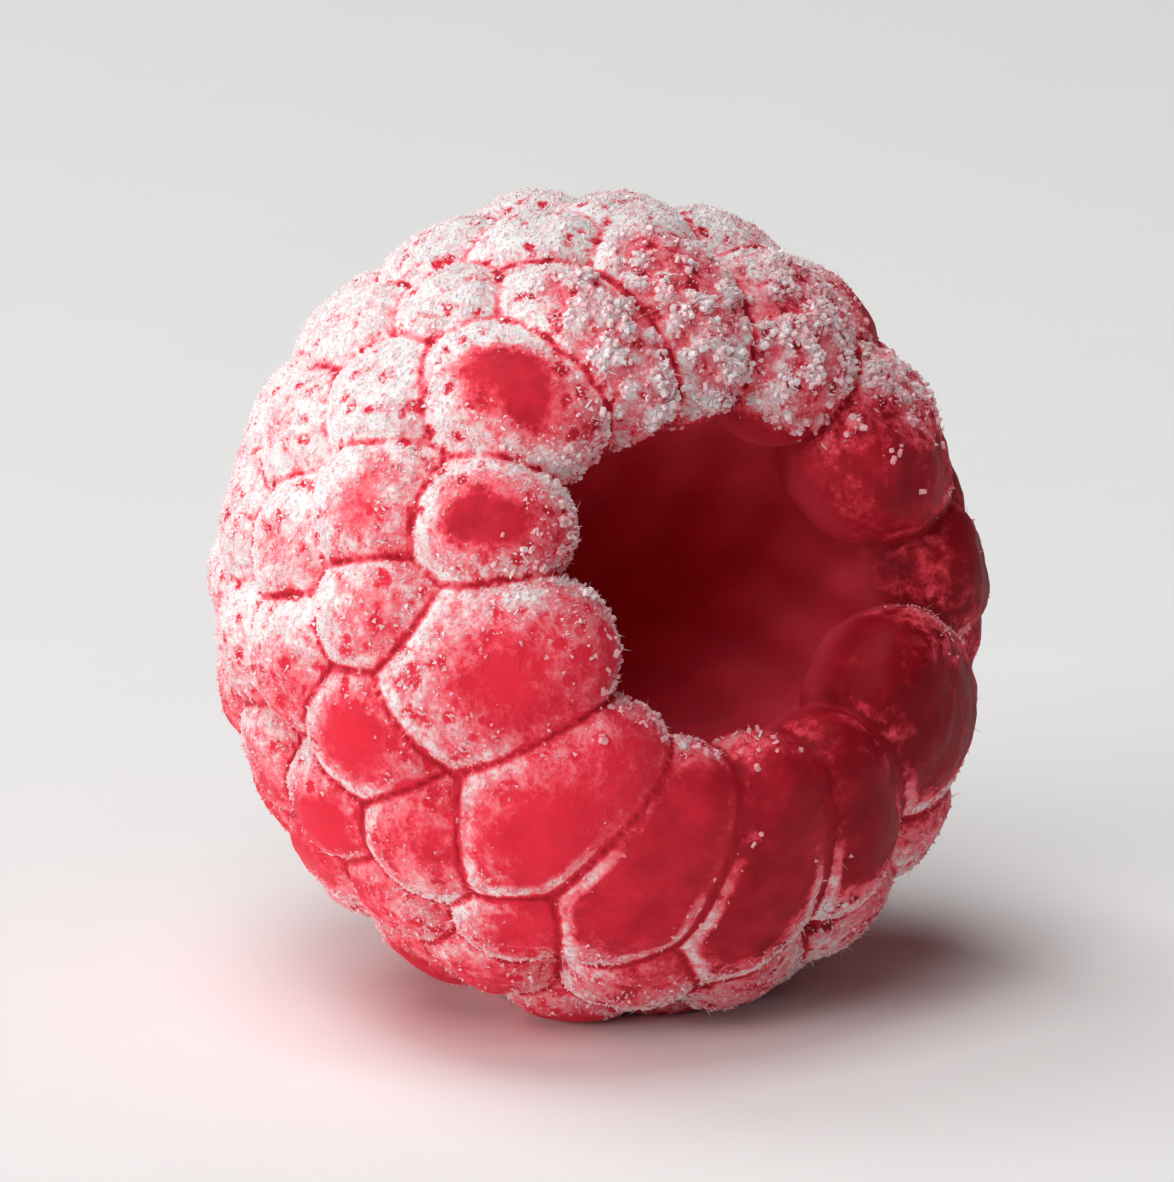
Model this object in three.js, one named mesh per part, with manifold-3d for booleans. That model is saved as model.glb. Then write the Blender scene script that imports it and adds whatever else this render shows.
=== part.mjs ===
// A picked raspberry lying on its side: drupelets grown together in rows round the hollow that the
// plant's core leaves when the fruit is pulled off. Millimetres, +Z up. The mouth of the hollow looks
// towards -Y and a little up, and the tip points the other way. The fruit is one piece, so it is one mesh.
//
// Places on the fruit are given as on a clock seen from in front of the mouth (12 is up, 3 is +X) and as
// a polar angle from the middle of the mouth (0) past the widest ring (90) to the tip (180).
import * as THREE from "three";
import { mergeVertices } from "three/addons/utils/BufferGeometryUtils.js";
import Module from "manifold-3d";

// Outer size of the fruit, over the tops of its drupelets
const HALF_WIDTH = 9.9; // from the axis to 3 and 9 o'clock
const HALF_HEIGHT = 10.4; // from the axis to 12 and 6 o'clock
const FRONT = 8.6; // from the widest ring to where the mouth end would close
const BACK = 9.6; // from the widest ring to the tip
const TAPER = 0.06; // share by which the mouth end is fuller than the tip end

// How it lies
const MOUTH_TILT = 20; // degrees that the mouth looks up
const CENTRE_HEIGHT = 9.6; // from the surface to the middle of the widest ring; the fruit is flat below

// Drupelets round the mouth: their polar and clock angles, width round the mouth, length away from it.
// The mouth has a notch at 3 o'clock, where one of them is small and set back.
const RIM = [
  { polar: 43, clock: 1, width: 3.3, length: 4.4 },
  { polar: 43.5, clock: 32, width: 3.5, length: 4.5 },
  { polar: 45, clock: 67, width: 3.9, length: 4.6 },
  { polar: 53, clock: 95, width: 3, length: 3.4 },
  { polar: 43.5, clock: 128, width: 4, length: 4.8 },
  { polar: 44.5, clock: 160, width: 3.2, length: 4.8 },
  { polar: 47, clock: 184.5, width: 4.1, length: 5.6 },
  { polar: 49, clock: 209, width: 3.9, length: 5.2 },
  { polar: 50, clock: 231, width: 3.4, length: 5 },
  { polar: 47, clock: 260.5, width: 3.7, length: 4.9 },
  { polar: 45, clock: 289, width: 2.8, length: 3.4 },
  { polar: 48, clock: 317, width: 3.3, length: 4 },
  { polar: 44.5, clock: 338, width: 2.9, length: 4.4 },
];

// Rows behind the rim: polar angle, how many, clock angle of the first, their usual size
const ROWS = [
  { polar: 65, count: 19, first: 8, size: 3.2 },
  { polar: 85, count: 20, first: 17, size: 3.2 },
  { polar: 104, count: 19, first: 7, size: 3.2 },
  { polar: 122, count: 17, first: 15, size: 3.1 },
  { polar: 140, count: 13, first: 4, size: 3.0 },
  { polar: 158, count: 8, first: 21, size: 2.9 },
  { polar: 174, count: 3, first: 40, size: 2.5 },
];
const SEED = 20;
const SIZE_SPREAD = 0.09; // share by which a drupelet's size varies
const PLACE_SPREAD = 2.2; // degrees by which a drupelet strays from its row before they press apart

// Packing: drupelets push apart until they just press, then each swells to meet its neighbours
const PRESS_STEPS = 60;
const PRESS_SHARE = 0.5; // share of what two drupelets still lack that one step gives them
const PRESS_CLOSE = 0.98; // share of two touching half sizes that their middles keep
const SWELL_LEAST = 0.92;
const SWELL_MOST = 1.12;
const NEIGHBOURS = 6;
const FAR_APART = 7; // further than this, two drupelets' middles never press

// One drupelet: a dome that is flatter on top than a ball. Behind the rim it has a root that sinks into
// the wall, and on the rim its inner end is a deeper dome, which bulges into the hollow.
const DOME_HEIGHT = 1.5;
const DOME_POWER = 2.6; // 2 is a round dome, and more is flatter with steeper flanks
const DOME_STEPS = [0, 0.27, 0.6, 1]; // shares of the quarter turn from its widest to its top
const DOME_SIDES = 9;
const OVERLAP = 1.12; // share by which a drupelet is wider than its place, so that neighbours fuse
const INNER_HEIGHT = 2.4;
const ROOT_DEPTH = 2.4;
const ROOT_SHOULDER = 0.7; // share of that depth where the root starts to close
const ROOT_WIDTH = 0.6; // share of the drupelet's width at the shoulder

// The wall that all of them grow from, which closes the pits where three drupelets meet
const PIT_DEPTH = 0.85;
const WALL_STEPS = 9;
const WALL_SIDES = 20;
const WALL_FRONT = 5.2; // from the widest ring to the wall's front face
const WALL_POLAR = 44; // where its round flank starts behind that face

// The hollow: radius at each depth below the front, and the soft ridges of the drupelets' inner ends
const HOLLOW_FRONT = 8.4; // from the widest ring to the front of the tool that clears the hollow
const HOLLOW = [
  { depth: 0, radius: 6.0 },
  { depth: 2, radius: 5.4 },
  { depth: 4, radius: 4.9 },
  { depth: 6, radius: 4.5 },
  { depth: 8, radius: 4.1 },
  { depth: 10, radius: 3.6 },
  { depth: 12, radius: 2.7 },
  { depth: 13.4, radius: 1.3 },
  { depth: 13.8, radius: 0 },
];
const HOLLOW_ASIDE = 0.6; // how far the mouth of the hollow lies from the axis, towards 9 o'clock
const HOLLOW_STRAIGHT = 7; // depth below which the hollow follows the axis
const RIDGES = 13;
const RIDGE_HEIGHT = 0.16;
const RIDGE_FADE = 4; // radius within which the ridges die away towards the inner end
const RIDGE_SIDES = 3; // faces across one ridge
const ROW_DEPTH = 2.2; // depth of the hollow per row of drupelets, where the ridges move round by half

const SKIN_RED = 0x8f0f22;

// What the surface takes away, and the distance within which two corners are one
const BELOW_WIDTH = 60;
const BELOW_DEPTH = 20;
const SAME_PLACE = 1e-4;

const RADIANS = Math.PI / 180;

const wasm = await Module();
wasm.setup();

// The same numbers on every run: a 32-bit linear congruential generator, from -1 to 1.
function randomFrom(seed) {
  let state = seed >>> 0;
  return () => {
    state = (state * 1664525 + 1013904223) % 4294967296;
    return (state / 4294967296) * 2 - 1;
  };
}

// The unit vector of a place, given its polar and clock angles in degrees.
function placeOf(polar, clock) {
  const away = Math.sin(polar * RADIANS);
  return new THREE.Vector3(
    away * Math.sin(clock * RADIANS),
    away * Math.cos(clock * RADIANS),
    Math.cos(polar * RADIANS),
  );
}

// The point of the outer surface in a unit vector's direction.
function onSurface(place) {
  const fuller = 1 + TAPER * place.z;
  return new THREE.Vector3(
    HALF_WIDTH * fuller * place.x,
    HALF_HEIGHT * fuller * place.y,
    (place.z > 0 ? FRONT : BACK) * place.z,
  );
}

// The directions at a place: out of the surface, clockwise round the axis, and towards the mouth.
function directionsAt(place) {
  const out = new THREE.Vector3(
    place.x / HALF_WIDTH,
    place.y / HALF_HEIGHT,
    place.z / (place.z > 0 ? FRONT : BACK),
  ).normalize();
  const axis = new THREE.Vector3(0, 0, 1);
  const round = new THREE.Vector3().crossVectors(out, axis).normalize();
  const along = new THREE.Vector3().crossVectors(round, out);
  return { out, round, along };
}

// A drupelet's half size in a direction, taking it as an ellipse on the surface.
function reach(drupelet, direction) {
  const { round, along } = directionsAt(drupelet.place);
  const aside = direction.dot(round);
  const ahead = direction.dot(along);
  return Math.hypot(aside, ahead) / Math.hypot(aside / (drupelet.width / 2), ahead / (drupelet.length / 2));
}

// How far two drupelets' middles are apart, in which direction, and how far apart they would just touch.
function spacing(a, b) {
  const gap = onSurface(b.place).sub(onSurface(a.place));
  const distance = gap.length();
  const direction = gap.divideScalar(distance);
  return { distance, direction, touching: reach(a, direction) + reach(b, direction) };
}

// The rim and the rows behind it, where they start before they press apart.
function startingPlaces() {
  const random = randomFrom(SEED);
  const drupelets = RIM.map(({ polar, clock, width, length }) => ({
    place: placeOf(polar, clock),
    width,
    length,
    onRim: true,
  }));
  for (const { polar, count, first, size } of ROWS)
    for (let i = 0; i < count; i++) {
      const place = placeOf(
        polar + PLACE_SPREAD * random(),
        first + (360 * i) / count + PLACE_SPREAD * random(),
      );
      const width = size * (1 + SIZE_SPREAD * random());
      const length = size * (1 + SIZE_SPREAD * random());
      drupelets.push({ place, width, length, onRim: false });
    }
  return drupelets;
}

// Pushes apart what is too close, and lets each drupelet swell or shrink to meet its neighbours.
function pressTogether(drupelets) {
  const radius = (HALF_WIDTH + HALF_HEIGHT) / 2;
  for (let step = 0; step < PRESS_STEPS; step++) {
    const pushes = drupelets.map(() => new THREE.Vector3());
    drupelets.forEach((a, i) =>
      drupelets.slice(i + 1).forEach((b, k) => {
        const { distance, direction, touching } = spacing(a, b);
        const lacking = touching * PRESS_CLOSE - distance;
        if (distance > FAR_APART || lacking <= 0) return;
        const share = a.onRim || b.onRim ? 1 : 0.5;
        pushes[i].addScaledVector(direction, -lacking * share);
        pushes[i + 1 + k].addScaledVector(direction, lacking * share);
      }),
    );
    drupelets.forEach((d, i) => {
      if (!d.onRim) d.place.addScaledVector(pushes[i], PRESS_SHARE / radius).normalize();
    });
  }
  const swellings = drupelets.map((a) => {
    const shares = drupelets
      .filter((b) => b !== a)
      .map((b) => spacing(a, b))
      .map(({ distance, touching }) => distance / touching)
      .sort((p, q) => p - q)
      .slice(0, NEIGHBOURS);
    const mean = shares.reduce((sum, share) => sum + share, 0) / NEIGHBOURS;
    return Math.min(Math.max(mean, SWELL_LEAST), SWELL_MOST);
  });
  drupelets.forEach((d, i) => {
    d.width *= swellings[i];
    d.length *= swellings[i];
  });
  return drupelets;
}

// A closed three.js geometry as a manifold-3d solid, moved by a matrix.
function solidOf(geometry, matrix = new THREE.Matrix4()) {
  const bare = geometry.clone().applyMatrix4(matrix);
  bare.deleteAttribute("normal");
  bare.deleteAttribute("uv");
  const merged = mergeVertices(bare, SAME_PLACE);
  return new wasm.Manifold(
    new wasm.Mesh({
      numProp: 3,
      vertProperties: merged.attributes.position.array,
      triVerts: new Uint32Array(merged.index.array),
    }),
  );
}

// Half of a drupelet's profile, from its widest in to its own axis: one unit wide, and so high.
function domePoints(height) {
  return DOME_STEPS.map((share) => {
    const turn = (1 - share) * (Math.PI / 2);
    const wide = share === 1 ? 0 : Math.sin(turn) ** (2 / DOME_POWER);
    return new THREE.Vector2(wide, height * Math.max(Math.cos(turn), 0) ** (2 / DOME_POWER));
  });
}

// A drupelet about its own axis, with its top at height 0, over what it has below its widest.
function drupeletGeometry(below) {
  const above = domePoints(DOME_HEIGHT);
  const points = [...below.reverse(), ...above.slice(1)];
  points.forEach((point) => (point.y -= DOME_HEIGHT));
  return new THREE.LatheGeometry(points, DOME_SIDES);
}

// The drupelet behind the rim, on a root that narrows.
function rootedGeometry() {
  return drupeletGeometry([
    new THREE.Vector2(1, 0),
    new THREE.Vector2(ROOT_WIDTH, -ROOT_DEPTH * ROOT_SHOULDER),
    new THREE.Vector2(0, -ROOT_DEPTH),
  ]);
}

// The drupelet on the rim, round at both ends.
function roundedGeometry() {
  return drupeletGeometry(domePoints(INNER_HEIGHT).map(({ x, y }) => new THREE.Vector2(x, -y)));
}

// The drupelet where it grows, turned so that its top faces out of the fruit.
function drupeletSolid(geometry, drupelet) {
  const { out, round, along } = directionsAt(drupelet.place);
  const halfWidth = (drupelet.width / 2) * OVERLAP;
  const halfLength = (drupelet.length / 2) * OVERLAP;
  const matrix = new THREE.Matrix4()
    .makeBasis(round, out, along)
    .setPosition(onSurface(drupelet.place))
    .scale(new THREE.Vector3(halfWidth, 1, halfLength));
  return solidOf(geometry, matrix);
}

// The wall under the drupelets, from its front face round to the tip.
function wallSolid() {
  const points = [new THREE.Vector2(0, WALL_FRONT)];
  for (let i = 0; i <= WALL_STEPS; i++) {
    const polar = WALL_POLAR + ((180 - WALL_POLAR) * i) / WALL_STEPS;
    const outer = onSurface(placeOf(polar, 0));
    outer.sub(directionsAt(placeOf(polar, 0)).out.multiplyScalar(PIT_DEPTH));
    points.push(new THREE.Vector2(i === WALL_STEPS ? 0 : outer.y, Math.min(outer.z, WALL_FRONT)));
  }
  const geometry = new THREE.LatheGeometry(points.reverse(), WALL_SIDES);
  geometry.rotateX(Math.PI / 2).scale(HALF_WIDTH / HALF_HEIGHT, 1, 1);
  return solidOf(geometry);
}

// What is cleared to leave the hollow, with a groove where each drupelet's inner end meets the next.
function hollowSolid() {
  const profile = HOLLOW.map(({ depth, radius }) => new THREE.Vector2(radius, HOLLOW_FRONT - depth));
  profile.unshift(new THREE.Vector2(0, HOLLOW_FRONT));
  const geometry = new THREE.LatheGeometry(profile.reverse(), RIDGES * RIDGE_SIDES);
  geometry.rotateX(Math.PI / 2);
  const position = geometry.attributes.position;
  const point = new THREE.Vector3();
  for (let i = 0; i < position.count; i++) {
    point.fromBufferAttribute(position, i);
    const radius = Math.hypot(point.x, point.y);
    if (radius < SAME_PLACE) continue;
    const depth = HOLLOW_FRONT - point.z;
    const turn = Math.atan2(point.x, point.y) * RIDGES + Math.PI * Math.round(depth / ROW_DEPTH);
    const eased = Math.min(radius / RIDGE_FADE, 1);
    const share = 1 + (RIDGE_HEIGHT * eased * Math.cos(turn)) / radius;
    const aside = HOLLOW_ASIDE * Math.max(1 - depth / HOLLOW_STRAIGHT, 0);
    position.setXY(i, point.x * share - aside, point.y * share);
  }
  return solidOf(geometry);
}

// Everything below the surface that the fruit lies on.
function belowSurface() {
  const geometry = new THREE.BoxGeometry(BELOW_WIDTH, BELOW_WIDTH, BELOW_DEPTH);
  geometry.translate(0, 0, -BELOW_DEPTH / 2);
  return solidOf(geometry);
}

// The whole fruit as it lies, centred over its own outline.
function berrySolid() {
  const drupelets = pressTogether(startingPlaces());
  const rooted = rootedGeometry();
  const rounded = roundedGeometry();
  const behind = drupelets
    .filter(({ onRim }) => !onRim)
    .reduce((whole, drupelet) => whole.add(drupeletSolid(rooted, drupelet)), wallSolid());
  const whole = drupelets
    .filter(({ onRim }) => onRim)
    .reduce((fruit, drupelet) => fruit.add(drupeletSolid(rounded, drupelet)), behind.subtract(hollowSolid()));
  const lying = new THREE.Matrix4()
    .makeRotationX(Math.PI / 2 - MOUTH_TILT * RADIANS)
    .setPosition(0, 0, CENTRE_HEIGHT);
  const berry = whole.transform(lying.elements).subtract(belowSurface());
  const { min, max } = berry.boundingBox();
  return berry.translate([-(min[0] + max[0]) / 2, -(min[1] + max[1]) / 2, 0]);
}

// A manifold-3d solid as a three.js geometry.
function geometryOf(solid) {
  const { numProp, vertProperties, triVerts } = solid.getMesh();
  const positions = new Float32Array((vertProperties.length / numProp) * 3);
  for (let i = 0; i < positions.length / 3; i++)
    positions.set(vertProperties.subarray(i * numProp, i * numProp + 3), i * 3);
  const geometry = new THREE.BufferGeometry();
  geometry.setAttribute("position", new THREE.BufferAttribute(positions, 3));
  geometry.setIndex(new THREE.BufferAttribute(triVerts, 1));
  geometry.computeVertexNormals();
  return geometry;
}

const skin = new THREE.MeshStandardMaterial({ color: SKIN_RED, roughness: 0.55, metalness: 0 });
const berry = new THREE.Mesh(geometryOf(berrySolid()), skin);
berry.name = "berry";

const raspberry = new THREE.Group();
raspberry.name = "raspberry";
raspberry.add(berry);

export default raspberry;
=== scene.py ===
"""A picked, frozen raspberry lying on its side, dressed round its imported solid.

Everything is in metres, with +Z up and the mouth of the hollow towards -Y. The fruit grew as one piece, so
its flesh is one mesh: the surface of a field of distances to its drupelets, its wall and its hollow. The
drupelets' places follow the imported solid's rule. Hoarfrost then grows on the flesh as small crystals.
"""
import logging
import math
from dataclasses import dataclass, field
from enum import Enum
from typing import Iterator, Union

import bpy
import numpy as np
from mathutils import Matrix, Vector, kdtree, noise


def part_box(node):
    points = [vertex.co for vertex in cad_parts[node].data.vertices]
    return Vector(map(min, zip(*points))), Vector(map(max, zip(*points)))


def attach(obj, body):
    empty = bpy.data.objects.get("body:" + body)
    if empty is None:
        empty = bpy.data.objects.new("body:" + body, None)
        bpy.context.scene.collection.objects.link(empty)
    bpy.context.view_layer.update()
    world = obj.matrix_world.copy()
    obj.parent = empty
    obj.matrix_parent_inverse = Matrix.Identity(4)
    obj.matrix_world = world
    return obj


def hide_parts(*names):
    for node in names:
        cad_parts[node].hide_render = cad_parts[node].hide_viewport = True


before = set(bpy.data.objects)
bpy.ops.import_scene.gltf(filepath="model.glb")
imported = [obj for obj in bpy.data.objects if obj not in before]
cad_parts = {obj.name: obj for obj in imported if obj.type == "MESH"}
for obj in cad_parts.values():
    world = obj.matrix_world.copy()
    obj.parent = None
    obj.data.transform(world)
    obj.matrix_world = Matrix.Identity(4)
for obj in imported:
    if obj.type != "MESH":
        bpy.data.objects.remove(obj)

MM = 0.001
NODE = "berry"
BODY = "root"
SEED = 20

# A point counts as at least this share of the way from a middle to its surface, so nothing is divided by 0.
LEAST_GROWN = 0.05

Array = np.ndarray
Link = Union["Value", bpy.types.NodeSocket, float, int, str, tuple]

log = logging.getLogger("raspberry")


# ---- How the fruit grew ----


@dataclass(frozen=True)
class RimDrupelet:
    """A drupelet on the rim of the mouth: its angles in degrees, its width round the mouth and its length.

    Its middle is rubbed bare of frost by so much, and its flesh is so light, partly as painted light and
    shade, both from 0 to 1.
    """

    polar: float
    clock: float
    width: float
    length: float
    bare: float
    tone: float


@dataclass(frozen=True)
class Tuft:
    """A tuft of frost on the lip: its angles in degrees, and its radius."""

    polar: float
    clock: float
    radius: float


@dataclass(frozen=True)
class Row:
    """A row of drupelets behind the rim: its polar angle, how many, the first's clock angle, their size."""

    polar: float
    count: int
    first: float
    size: float


# The last number of each rim drupelet, how light its flesh is, is higher on the lit left and lower on the
# shaded right: partly painted light and shade.
RIM = (
    RimDrupelet(43, 1, 3.3 * MM, 4.4 * MM, 0.1, 0.3),
    RimDrupelet(43.5, 32, 3.5 * MM, 4.5 * MM, 0.1, 0.3),
    RimDrupelet(45, 67, 3.9 * MM, 4.6 * MM, 0, 0.25),
    RimDrupelet(53, 95, 3.0 * MM, 3.4 * MM, 0.9, 0),
    RimDrupelet(43.5, 128, 4.0 * MM, 4.8 * MM, 0.6, 0),
    RimDrupelet(44.5, 160, 3.2 * MM, 4.8 * MM, 0.5, 0.15),
    RimDrupelet(47, 184.5, 4.1 * MM, 5.6 * MM, 0.7, 0.35),
    RimDrupelet(49, 209, 3.9 * MM, 5.2 * MM, 0.6, 0.6),
    RimDrupelet(50, 231, 3.4 * MM, 5.0 * MM, 0.1, 1),
    RimDrupelet(47, 260.5, 3.7 * MM, 4.9 * MM, 0.05, 1),
    RimDrupelet(45, 289, 2.8 * MM, 3.4 * MM, 1, 0.6),
    RimDrupelet(48, 317, 3.3 * MM, 4.0 * MM, 1, 0.6),
    RimDrupelet(44.5, 338, 2.9 * MM, 4.4 * MM, 0.2, 0.4),
)
TUFTS = (
    Tuft(39, 277, 0.68 * MM),
    # This small tuft stands where a glint shows: its pale film is a painted highlight, and its crystals catch
    # the lamps.
    Tuft(37, 192, 0.2 * MM),
)
ROWS = (
    Row(65, 19, 8, 3.2 * MM),
    Row(85, 20, 17, 3.2 * MM),
    Row(104, 19, 7, 3.2 * MM),
    Row(122, 17, 15, 3.1 * MM),
    Row(140, 13, 4, 3.0 * MM),
    Row(158, 8, 21, 2.9 * MM),
    Row(174, 3, 40, 2.5 * MM),
)


def unit(vectors: Array) -> Array:
    """Vectors along the last axis, each made one unit long."""
    return vectors / np.linalg.norm(vectors, axis=-1, keepdims=True)


def lumpy(points: Array, size: float) -> Array:
    """Noise at points, from -1 to 1, whose lumps are about so large."""
    return np.array([noise.noise(Vector(point / size)) for point in points])


def in_scene(name: str, data: bpy.types.ID) -> bpy.types.Object:
    """Puts a mesh, a lamp or a camera in the scene.

    Args:
        name: The object's name.
        data: What it shows.

    Returns:
        The object, at the origin, unturned and unscaled.
    """
    thing = bpy.data.objects.new(name, data)
    bpy.context.scene.collection.objects.link(thing)
    return thing


def random_from(seed: int) -> Iterator[float]:
    """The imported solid's own random numbers, from a 32-bit linear congruential generator.

    Args:
        seed: The generator's first state.

    Returns:
        An endless run of numbers from -1 to 1.
    """
    state = seed
    while True:
        state = (state * 1664525 + 1013904223) % 2**32
        yield state / 2**32 * 2 - 1


@dataclass(frozen=True)
class FruitShape:
    """The outer surface over the tops of the drupelets, in the fruit's own axes.

    They start at the middle of the widest ring: x to 3 o'clock and y to 12 o'clock, as seen from in front of
    the mouth, and z out of the mouth.
    """

    half_width: float = 9.9 * MM
    half_height: float = 10.4 * MM
    front: float = 8.6 * MM
    back: float = 9.6 * MM
    taper: float = 0.06

    def place(self, polar: float, clock: float) -> Array:
        """The direction of a place on the fruit.

        Args:
            polar: Its angle from the mouth's axis, in degrees.
            clock: Its angle round that axis from 12 o'clock, in degrees.

        Returns:
            A unit vector.
        """
        away = math.sin(math.radians(polar))
        turn = math.radians(clock)
        return np.array((away * math.sin(turn), away * math.cos(turn), math.cos(math.radians(polar))))

    def on_surface(self, places: Array) -> Array:
        """Where the surface lies in some directions.

        Args:
            places: The directions, as unit vectors.

        Returns:
            The points.
        """
        x, y, z = np.moveaxis(places, -1, 0)
        fuller = 1 + self.taper * z
        depth = np.where(z > 0, self.front, self.back)
        return np.stack((self.half_width * fuller * x, self.half_height * fuller * y, depth * z), axis=-1)

    def half_sizes(self, heights: Array) -> Array:
        """The surface's half sizes, which differ in front of and behind the widest ring.

        Args:
            heights: The places of points along z.

        Returns:
            The half width, the half height and the depth at each.
        """
        depth = np.where(heights > 0, self.front, self.back)
        wide = np.full_like(depth, self.half_width)
        high = np.full_like(depth, self.half_height)
        return np.stack((wide, high, depth), axis=-1)

    def directions(self, places: Array) -> tuple[Array, Array, Array]:
        """The directions out of the surface, clockwise round the axis, and towards the mouth.

        Args:
            places: Unit vectors of the places.

        Returns:
            Three arrays of unit vectors: out, round and along.
        """
        out = unit(places / self.half_sizes(places[..., 2]))
        across = unit(np.cross(out, (0.0, 0.0, 1.0)))
        return out, across, np.cross(across, out)

    def outward(self, points: Array) -> Array:
        """The surface's own direction at points near it."""
        return unit(points / self.half_sizes(points[:, 2]) ** 2)

    def outside(self, points: Array) -> Array:
        """How far points lie outside the surface.

        Args:
            points: Points in the fruit's own axes.

        Returns:
            The distances, less than 0 within it.
        """
        z = points[:, 2] / np.where(points[:, 2] > 0, self.front, self.back)
        fuller = 1 + self.taper * np.clip(z, -1, 1)
        grown = np.sqrt(
            (points[:, 0] / (self.half_width * fuller)) ** 2
            + (points[:, 1] / (self.half_height * fuller)) ** 2
            + z**2
        )
        return np.linalg.norm(points, axis=1) * (1 - 1 / np.maximum(grown, LEAST_GROWN))


@dataclass
class Drupelets:
    """All the drupelets of one fruit, with one entry in each array for each of them."""

    places: Array
    widths: Array
    lengths: Array
    on_rim: Array

    def __len__(self) -> int:
        """How many there are."""
        return len(self.widths)


@dataclass(frozen=True)
class Packing:
    """How drupelets crowd together: they push apart until they just press, and swell to meet."""

    shape: FruitShape
    size_spread: float = 0.09
    place_spread: float = 2.2
    steps: int = 60
    step_share: float = 0.5
    rim_push: float = 1.0
    row_push: float = 0.5
    close: float = 0.98
    swell: tuple[float, float] = (0.92, 1.12)
    neighbours: int = 6
    far_apart: float = 7 * MM

    def start(self) -> Drupelets:
        """Sets out the rim and the rows behind it.

        Returns:
            The drupelets, before they press apart.
        """
        draw = random_from(SEED)
        found = [(self.shape.place(r.polar, r.clock), r.width, r.length, True) for r in RIM]
        for row in ROWS:
            for i in range(row.count):
                polar = row.polar + self.place_spread * next(draw)
                clock = row.first + 360 * i / row.count + self.place_spread * next(draw)
                width = row.size * (1 + self.size_spread * next(draw))
                length = row.size * (1 + self.size_spread * next(draw))
                found.append((self.shape.place(polar, clock), width, length, False))
        places, widths, lengths, on_rim = zip(*found)
        return Drupelets(np.array(places), np.array(widths), np.array(lengths), np.array(on_rim))

    def spacing(self, drupelets: Drupelets) -> tuple[Array, Array, Array]:
        """How each drupelet lies from each other one.

        Args:
            drupelets: The drupelets as they lie now.

        Returns:
            For each pair: the distance, the direction, and the distance at which they would just touch.
        """
        points = self.shape.on_surface(drupelets.places)
        gaps = points[None] - points[:, None]
        distance = np.linalg.norm(gaps, axis=-1)
        np.fill_diagonal(distance, np.inf)
        direction = gaps / distance[..., None]
        _, across, along = self.shape.directions(drupelets.places)
        aside = np.einsum("ijk,ik->ij", direction, across)
        ahead = np.einsum("ijk,ik->ij", direction, along)
        wide = aside / (drupelets.widths[:, None] / 2)
        deep = ahead / (drupelets.lengths[:, None] / 2)
        stretch = np.hypot(wide, deep)
        np.fill_diagonal(stretch, 1)
        reach = np.hypot(aside, ahead) / stretch
        return distance, direction, reach + reach.T

    def grow(self) -> Drupelets:
        """Presses the drupelets apart, and swells them to meet their neighbours.

        Returns:
            The drupelets as they grew. Those on the rim keep their places.
        """
        drupelets = self.start()
        rim = drupelets.on_rim
        push = np.where(rim[:, None] | rim[None], self.rim_push, self.row_push)
        radius = (self.shape.half_width + self.shape.half_height) / 2
        for _ in range(self.steps):
            distance, direction, touching = self.spacing(drupelets)
            lacking = touching * self.close - distance
            lacking = np.where((lacking > 0) & (distance <= self.far_apart), lacking, 0.0)
            pushes = np.einsum("ij,ijk->jk", lacking * push, direction)
            moved = unit(drupelets.places + pushes * self.step_share / radius)
            drupelets.places = np.where(rim[:, None], drupelets.places, moved)
        distance, _, touching = self.spacing(drupelets)
        nearest = np.sort(distance / touching, axis=1)[:, : self.neighbours]
        swelling = np.clip(nearest.mean(axis=1), *self.swell)
        drupelets.widths = drupelets.widths * swelling
        drupelets.lengths = drupelets.lengths * swelling
        return drupelets


@dataclass(frozen=True)
class Lie:
    """How the fruit lies: the mouth looks up by some degrees, and the widest ring's middle is so high."""

    mouth_tilt: float = 20
    centre_height: float = 9.6 * MM

    def turn(self) -> Array:
        """How the fruit's own axes are turned in the frame.

        Returns:
            The matrix.
        """
        angle = math.pi / 2 - math.radians(self.mouth_tilt)
        cos, sin = math.cos(angle), math.sin(angle)
        return np.array(((1, 0, 0), (0, cos, -sin), (0, sin, cos)))

    def lay(self, points: Array) -> Array:
        """Points in the fruit's own axes, as they lie."""
        return points @ self.turn().T + (0, 0, self.centre_height)

    def unlay(self, points: Array) -> Array:
        """Points as they lie, in the fruit's own axes."""
        return (points - (0, 0, self.centre_height)) @ self.turn()


# ---- The flesh ----


def soft_min(a: Array, b: Array, reach: float) -> Array:
    """The smaller of two distances, rounded over a reach where they are alike."""
    share = np.clip(0.5 + 0.5 * (b - a) / reach, 0, 1)
    return b + (a - b) * share - reach * share * (1 - share)


def soft_max(a: Array, b: Array, reach: float) -> Array:
    """The larger of two distances, rounded over a reach where they are alike."""
    return -soft_min(-a, -b, reach)


def ease(values: Array, low: float, high: float) -> Array:
    """0 below low and 1 above high, with a smooth rise between them."""
    share = np.clip((values - low) / (high - low), 0, 1)
    return share * share * (3 - 2 * share)


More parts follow.
